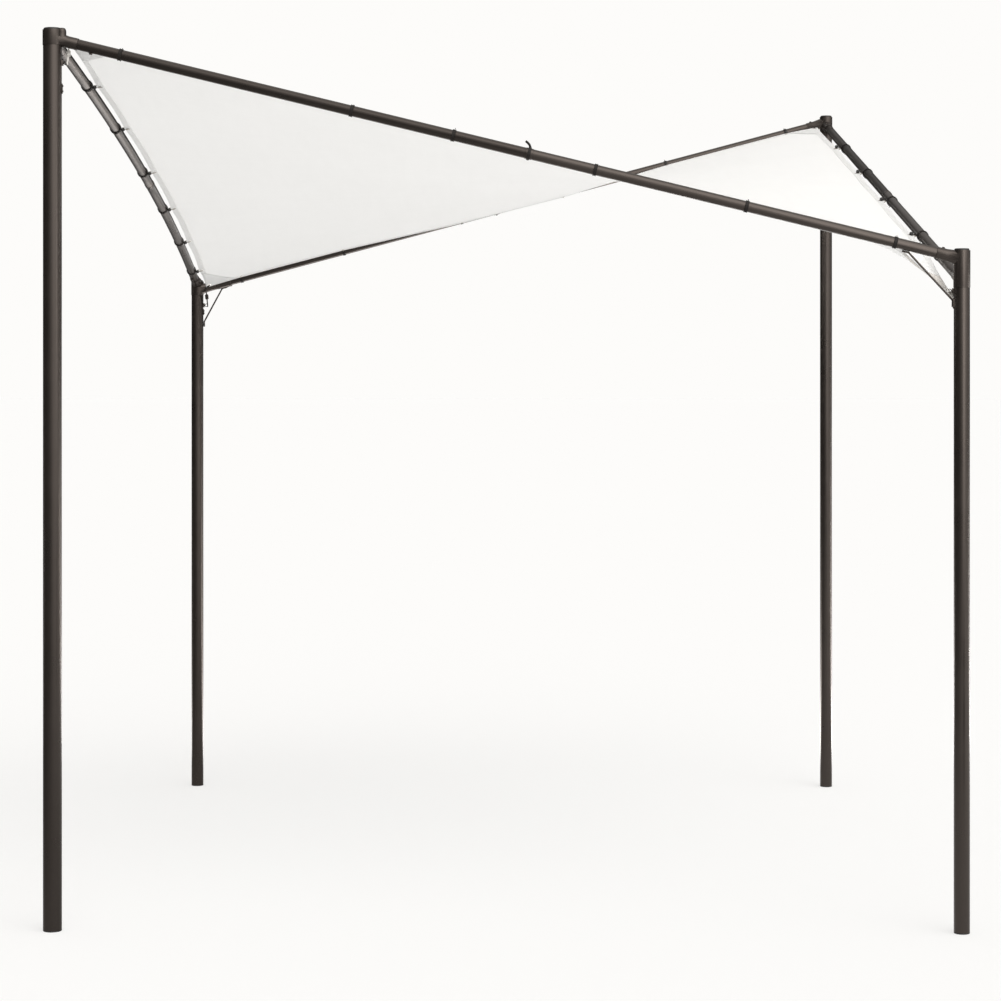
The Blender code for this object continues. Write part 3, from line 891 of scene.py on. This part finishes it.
def make_lashing(post):
    """A doubled rope from the eyelet in the sail's corner to an eye bolt on the post."""
    x_side, y_side = POSTS[post][:2]
    inwards = Vector((-x_side, 0, 0))
    plate = cleat_middle(post)
    bm = bmesh.new()
    knob(bm, facing(plate, inwards), [(0.0045, 0.0003), (0.0045, 0.0022), (0.0030, 0.0032)], 16)
    ring_middle = plate + inwards * EYE_OUT
    ring = [ring_middle + Vector((-x_side * EYE_R * math.cos(turn), 0, EYE_R * math.sin(turn)))
            for turn in (2 * math.pi * step / 20 for step in range(20))]
    sweep(bm, ring, EYE_WIRE_R, 8, 0, closed=True)
    eye = sail_frame(*corner_uv(post))
    hole = eye.translation
    normal = eye.col[2].to_3d() * 0.0046
    tip = lashed_corner(post)
    past = (tip - hole).normalized()
    low = ring_middle + inwards * 0.005
    axis = (tip + past * 0.006 - low).normalized()
    sideways = axis.cross(inwards).normalized() * 0.0028
    rim = tip + past * 0.004
    middle = low.lerp(rim, 0.5)
    rope = [low - sideways, middle - sideways, rim - normal * 0.9 - sideways * 0.4,
            hole - normal * 1.1, hole + normal * 1.1, rim + normal * 0.9 + sideways * 0.4,
            middle + sideways, low + sideways, low - axis * 0.005]
    sweep(bm, smooth_path(rope, 8, closed=True), ROPE_R, 8, 1, closed=True)
    for turn in range(COILS):
        wrap = facing(low.lerp(rim, 0.38) + axis * (0.0040 * turn), axis)
        coil = [wrap @ Vector((COIL_R * math.cos(a), COIL_R * math.sin(a), 0))
                for a in (2 * math.pi * step / 18 for step in range(18))]
        sweep(bm, coil, ROPE_R * 0.9, 7, 1, closed=True)
    rope_mat = ROPE if y_side < 0 else DARK_ROPE
    lashing = new_object(f"corner_rope_{post}", bm, [STEEL, rope_mat])
    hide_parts(f"lashing_{post}")
    seat(lashing)
    return lashing


# Fasteners

def make_bolts(post):
    """Hexagon bolts under the beams and in the sleeves of a post."""
    bm = bmesh.new()
    for beam, near, far in arms_at(post):
        out = (far - near).normalized()
        under = (Vector((0, 0, -1)) + out * out.z).normalized()
        if (post, beam) not in NO_BEAM_BOLT:
            place = near + out * BEAM_BOLT_AT + under * (BEAM_R - SEATED)
            hex_head(bm, facing(place, under), *BEAM_BOLT)
        if (post, beam) not in NO_SLEEVE_BOLT:
            place = near + out * SLEEVE_BOLT_AT - under * (SLEEVE_R - SEATED)
            hex_head(bm, facing(place, -under), *SLEEVE_BOLT)
    seat(new_object(f"bolts_{post}", bm, [STEEL]))


def make_plate(post, below, tall):
    """A flat plate with round ends and two bolts on the inner side of a post."""
    x_side, _, top, radius, _ = POSTS[post]
    face = post_axis(post, top - below) - Vector((x_side * (radius - 0.0008), 0, 0))
    aim = facing(face, Vector((-x_side, 0, 0)))
    up = aim.inverted().to_3x3() @ Vector((0, 0, 1))
    aside = Vector((-up.y, up.x, 0))
    reach = tall / 2 - PLATE_HALF_WIDE
    turns = [math.radians(15 * k - 90) for k in range(13)]
    outline = [(up * (reach + PLATE_HALF_WIDE * math.cos(turn))
                + aside * PLATE_HALF_WIDE * math.sin(turn)) * end
               for end in (1, -1) for turn in turns]
    bm = bmesh.new()
    loops = []
    for share, height in ((1.0, 0.0), (1.0, PLATE_THICK - 0.0005), (0.94, PLATE_THICK)):
        loops.append([bm.verts.new(aim @ (point * share + Vector((0, 0, height))))
                      for point in outline])
    close_loops(bm, loops)
    for end in (1, -1):
        place = up * (end * reach * 0.9) + Vector((0, 0, PLATE_THICK - 0.0002))
        hex_head(bm, aim @ Matrix.Translation(place), *PLATE_BOLT)
    seat(new_object(f"post_plate_{post}", bm, [STEEL]))


def make_coupler():
    """A short sleeve on the back beam, with a ring round its far mouth."""
    post, beam, first, last = COUPLER
    _, near, far = next(arm for arm in arms_at(post) if arm[0] == beam)
    bore, lip = BEAM_R + BORE_SLACK, COUPLER_R + COUPLER_LIP
    bm = bmesh.new()
    lathe(bm, along_matrix(near, far),
          [(bore, first), (COUPLER_R - 0.0006, first), (COUPLER_R, first + 0.0008),
           (COUPLER_R, last - 0.012), (lip, last - 0.011), (lip, last - 0.001),
           (COUPLER_R + 0.0010, last), (bore, last)], 48)
    seat(new_object(f"beam_coupler_{beam}", bm, [STEEL]))


def make_loose_strap():
    """A strap round the joint of the front beam, with its free end standing up."""
    matrix = tie_matrix("front", RING_AT)
    half = [(RING_R + BORE_SLACK, STRAP_HALF), (STRAP_R - 0.0003, STRAP_HALF),
            (STRAP_R, STRAP_HALF - 0.0003)]
    bm = bmesh.new()
    lathe(bm, matrix, half + [(radius, -height) for radius, height in reversed(half)], 40)
    turn = math.radians(STRAP_END_AT if matrix.col[1].z > 0 else -STRAP_END_AT)
    up = matrix @ Matrix.Rotation(turn, 4, "Z")
    tail = [up @ Vector((STRAP_R + out, aside, along)) for out, aside, along in (
        (-0.001, 0, 0.001), (0.004, 0, -0.001), (0.011, 0.001, -0.006),
        (0.016, 0.002, -0.013), (0.019, 0.003, -0.020))]
    sweep(bm, smooth_path(tail, 4), STRAP_END_R, 8)
    seat(new_object("joint_strap_front", bm, [WEBBING]))


def make_beam_joint(beam):
    """The spring button of the joint in the middle of a beam, and its lock screw."""
    matrix = tie_matrix(beam, RING_AT)
    bm = bmesh.new()
    for turn in (90, 270):
        side = matrix @ Matrix.Rotation(math.radians(turn), 4, "Z")
        face = facing(side @ Vector((RING_R - SEATED, 0, 0)), side.col[0].to_3d())
        knob(bm, face, [(0.0042, 0), (0.0042, 0.0016), (0.0030, 0.0030), (0.0012, 0.0036)])
    seat(new_object(f"joint_button_{beam}", bm, [STEEL]))


# The setting

def world_node(kind, **inputs):
    made = bpy.context.scene.world.node_tree.nodes.new(kind)
    for name, value in inputs.items():
        made.inputs[name].default_value = value
    return made


def glow(links, direction, towards, low, high, dim, bright):
    """Light of the room that grows as a direction turns towards another."""
    dot = world_node("ShaderNodeVectorMath")
    dot.operation = "DOT_PRODUCT"
    dot.inputs[1].default_value = Vector(towards).normalized()
    links.new(direction, dot.inputs[0])
    fade = world_node("ShaderNodeMapRange", **{
        "From Min": low, "From Max": high, "To Min": dim, "To Max": bright})
    fade.interpolation_type = "SMOOTHSTEP"
    links.new(dot.outputs["Value"], fade.inputs["Value"])
    return fade.outputs["Result"]


def make_world():
    """A white backdrop, and for light and reflections a room with a large soft box high to
    the right of the camera, a bright side and a soft ceiling."""
    world = bpy.data.worlds.new("studio")
    bpy.context.scene.world = world
    world.use_nodes = True
    nodes, links = world.node_tree.nodes, world.node_tree.links
    seen = nodes["Background"]
    seen.inputs["Color"].default_value = (*BACKDROP, 1)
    room = world_node("ShaderNodeBackground", Color=(*ROOM_TINT, 1))
    direction = world_node("ShaderNodeTexCoord").outputs["Generated"]
    parts = [glow(links, direction, *part) for part in GLOWS]
    total = parts[0]
    for part in parts[1:]:
        add = world_node("ShaderNodeMath")
        links.new(total, add.inputs[0])
        links.new(part, add.inputs[1])
        total = add.outputs[0]
    links.new(total, room.inputs["Strength"])
    path = world_node("ShaderNodeLightPath")
    mix = world_node("ShaderNodeMixShader")
    links.new(path.outputs["Is Camera Ray"], mix.inputs["Fac"])
    links.new(room.outputs["Background"], mix.inputs[1])
    links.new(seen.outputs["Background"], mix.inputs[2])
    links.new(mix.outputs["Shader"], nodes["World Output"].inputs["Surface"])


def floor_light():
    """Light of the room on the open floor: the glows' mean over the sky, where each
    direction counts by how steeply it falls."""
    reach = np.sqrt((np.arange(LIGHT_RINGS) + 0.5) / LIGHT_RINGS)
    turn = math.tau * (np.arange(2 * LIGHT_RINGS) + 0.5) / (2 * LIGHT_RINGS)
    reach, turn = np.meshgrid(reach, turn)
    sky = np.stack([reach * np.cos(turn), reach * np.sin(turn), np.sqrt(1 - reach ** 2)], -1)
    total = 0.0
    for towards, low, high, dim, bright in GLOWS:
        share = np.clip((sky @ np.array(Vector(towards).normalized()) - low) / (high - low), 0, 1)
        total += float((dim + (bright - dim) * share * share * (3 - 2 * share)).mean())
    return total


def make_soft_box():
    """A tall soft box in front of the right front post, brighter towards its top. It shows
    only in reflections."""
    bm = bmesh.new()
    bmesh.ops.create_grid(bm, x_segments=1, y_segments=1, size=0.5)
    mat, shader = material("soft_box", (0.0, 0.0, 0.0), 1.0)
    shader.inputs["Specular IOR Level"].default_value = 0.0
    shader.inputs["Emission Color"].default_value = (*ROOM_TINT, 1)
    place = node(mat, "ShaderNodeSeparateXYZ")
    link(mat, texture_space(mat), place.inputs["Vector"])
    link(mat, remap(mat, place.outputs["Y"], -0.35, 0.15, 0.0, SOFT_BOX_STRENGTH),
         shader.inputs["Emission Strength"])
    box = new_object("soft_box", bm, [mat])
    box.scale = (SOFT_BOX_WIDE, SOFT_BOX_TOP, 1)
    box.location = (*SOFT_BOX, SOFT_BOX_TOP / 2)
    box.rotation_euler = (math.pi / 2, 0, math.atan2(SOFT_BOX[1], SOFT_BOX[0]) + math.pi / 2)
    box.visible_camera = False
    box.visible_diffuse = False
    box.visible_transmission = False
    box.visible_shadow = False


def make_floor():
    """A white floor that shows soft shadows only faintly. Reflections show it dim, with a
    bright strip behind the object, and brighter towards the right."""
    bm = bmesh.new()
    bmesh.ops.create_grid(bm, x_segments=2, y_segments=2, size=FLOOR_HALF)
    mat, shader = material("floor_white", (FLOOR_TONE, FLOOR_TONE, FLOOR_TONE), 0.9)
    shader.inputs["Specular IOR Level"].default_value = 0.0
    light = FLOOR_TONE * floor_light()
    lit = [white - light * tint for white, tint in zip(BACKDROP, ROOM_TINT)]
    shader.inputs["Emission Color"].default_value = (*lit, 1)
    shader.inputs["Emission Strength"].default_value = 1.0
    place = node(mat, "ShaderNodeSeparateXYZ")
    link(mat, texture_space(mat), place.inputs["Vector"])
    near = remap(mat, place.outputs["Y"], 1.8, 2.4, 0.55, GLEAM)
    beyond = remap(mat, place.outputs["Y"], 2.6, 3.6, 1.0, 0.08)
    aside = remap(mat, place.outputs["X"], -3.5, 4.5, 0.2, 2.2)
    gleam = product(mat, product(mat, near, beyond), aside)
    mirrored = node(mat, "ShaderNodeEmission", Color=(*ROOM_TINT, 1))
    link(mat, gleam, mirrored.inputs["Strength"])
    path = node(mat, "ShaderNodeLightPath")
    mix = node(mat, "ShaderNodeMixShader")
    link(mat, path.outputs["Is Glossy Ray"], mix.inputs["Fac"])
    link(mat, shader.outputs["BSDF"], mix.inputs[1])
    link(mat, mirrored.outputs["Emission"], mix.inputs[2])
    link(mat, mix.outputs["Shader"], mat.node_tree.nodes["Material Output"].inputs["Surface"])
    floor = new_object("floor", bm, [mat])
    floor.location.z = -FLOOR_DROP


def make_camera():
    data = bpy.data.cameras.new("camera")
    data.lens = LENS
    data.sensor_width = SENSOR
    data.shift_y = SHIFT_Y
    camera = bpy.data.objects.new("camera", data)
    camera.location = EYE
    camera.rotation_euler = (math.pi / 2, 0, YAW)
    bpy.context.scene.collection.objects.link(camera)
    bpy.context.scene.camera = camera


def make_setting():
    make_camera()
    make_world()
    make_soft_box()
    make_floor()
    bpy.context.scene.view_settings.view_transform = "Standard"


def dress():
    finish_solids()
    sail = make_sail()
    trimmings = [make_hem(), make_stitches(), make_eyelets(),
                 make_patches("sail_corner_patches", [p for p in POSTS if p != LOW_CORNER], HEM),
                 make_patches("sail_low_corner_patch", [LOW_CORNER], CREAM)]
    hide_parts("sail")
    for piece in [sail] + trimmings:
        seat(piece)
    for beam, (*_, places) in BEAMS.items():
        for number, (place, eyelet) in enumerate(zip(places, tie_frames(beam)), 1):
            make_tie(beam, number, place, eyelet)
        make_beam_joint(beam)
    for post in POSTS:
        make_lashing(post)
        make_bolts(post)
    for plate in PLATES:
        make_plate(*plate)
    make_coupler()
    make_loose_strap()


make_setting()
dress()
